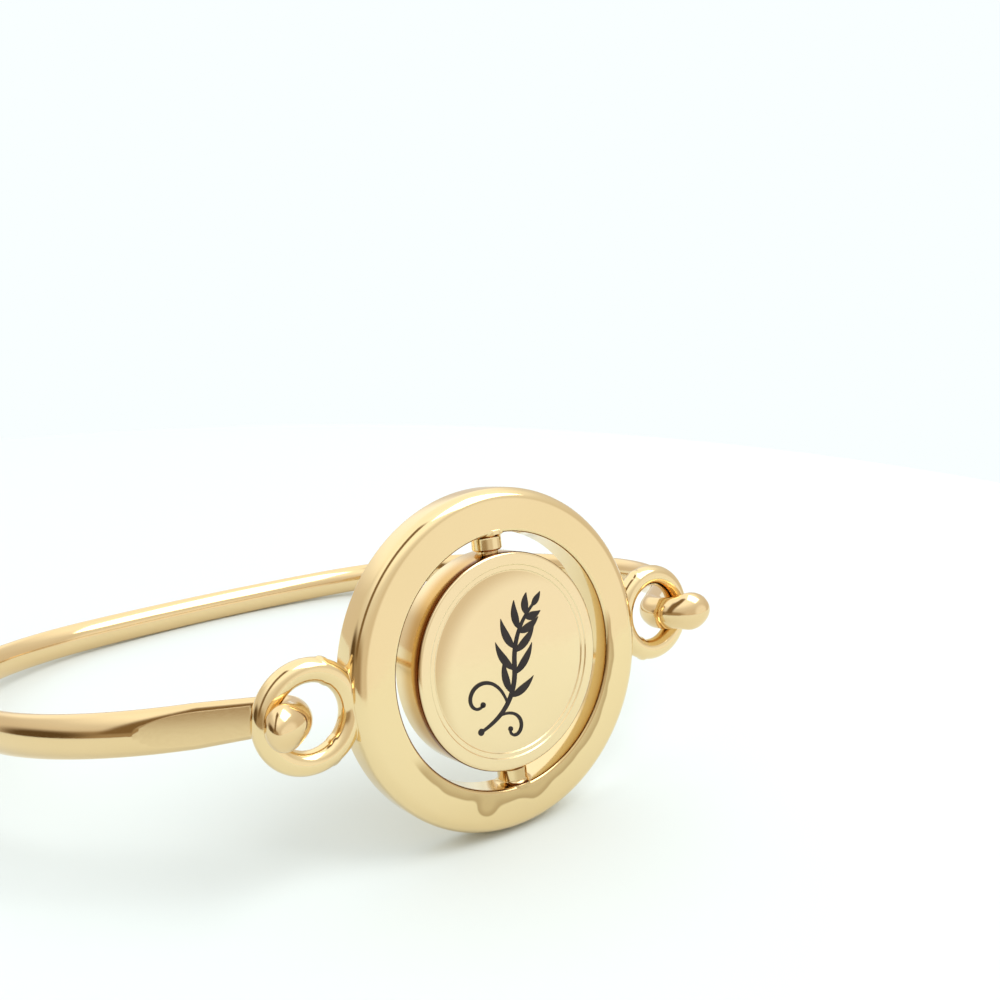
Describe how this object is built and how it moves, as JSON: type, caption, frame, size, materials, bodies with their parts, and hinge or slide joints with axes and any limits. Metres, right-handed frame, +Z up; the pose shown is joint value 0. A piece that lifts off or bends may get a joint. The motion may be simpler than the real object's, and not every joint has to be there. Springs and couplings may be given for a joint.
{
  "type": "charm bangle",
  "caption": "Oval metal bangle whose two hooked ends hold a round charm with a disc that turns in its ring.",
  "frame": {"origin": "on the surface that the bangle lies on, below the middle of its box", "axes": "+Z up, -Y towards the charm's front, +X along the band's width to the right as seen from the front"},
  "size_m": [0.0626, 0.0556, 0.0249],
  "materials": {
    "band_metal": "polished pale gold plating",
    "charm_metal": "polished pale gold plating",
    "disc_metal": "polished pale gold plating with a black enamelled ornament"
  },
  "bodies": {
    "band": {"hoop": "band_metal"},
    "charm": {"charm_frame": "charm_metal"},
    "spinner": {"disc": "disc_metal"}
  },
  "joints": [
    {"name": "charm_rock", "type": "hinge", "parent": "band", "child": "charm", "pos_m": [0, -0.02352, 0.0125], "axis": [0.9974, -0.0644, 0.032], "range_deg": [-10, 8]},
    {"name": "disc_spin", "type": "hinge", "parent": "charm", "child": "spinner", "pos_m": [0, -0.02352, 0.0125], "axis": [-0.0197, 0.1827, 0.983], "continuous": true}
  ]
}
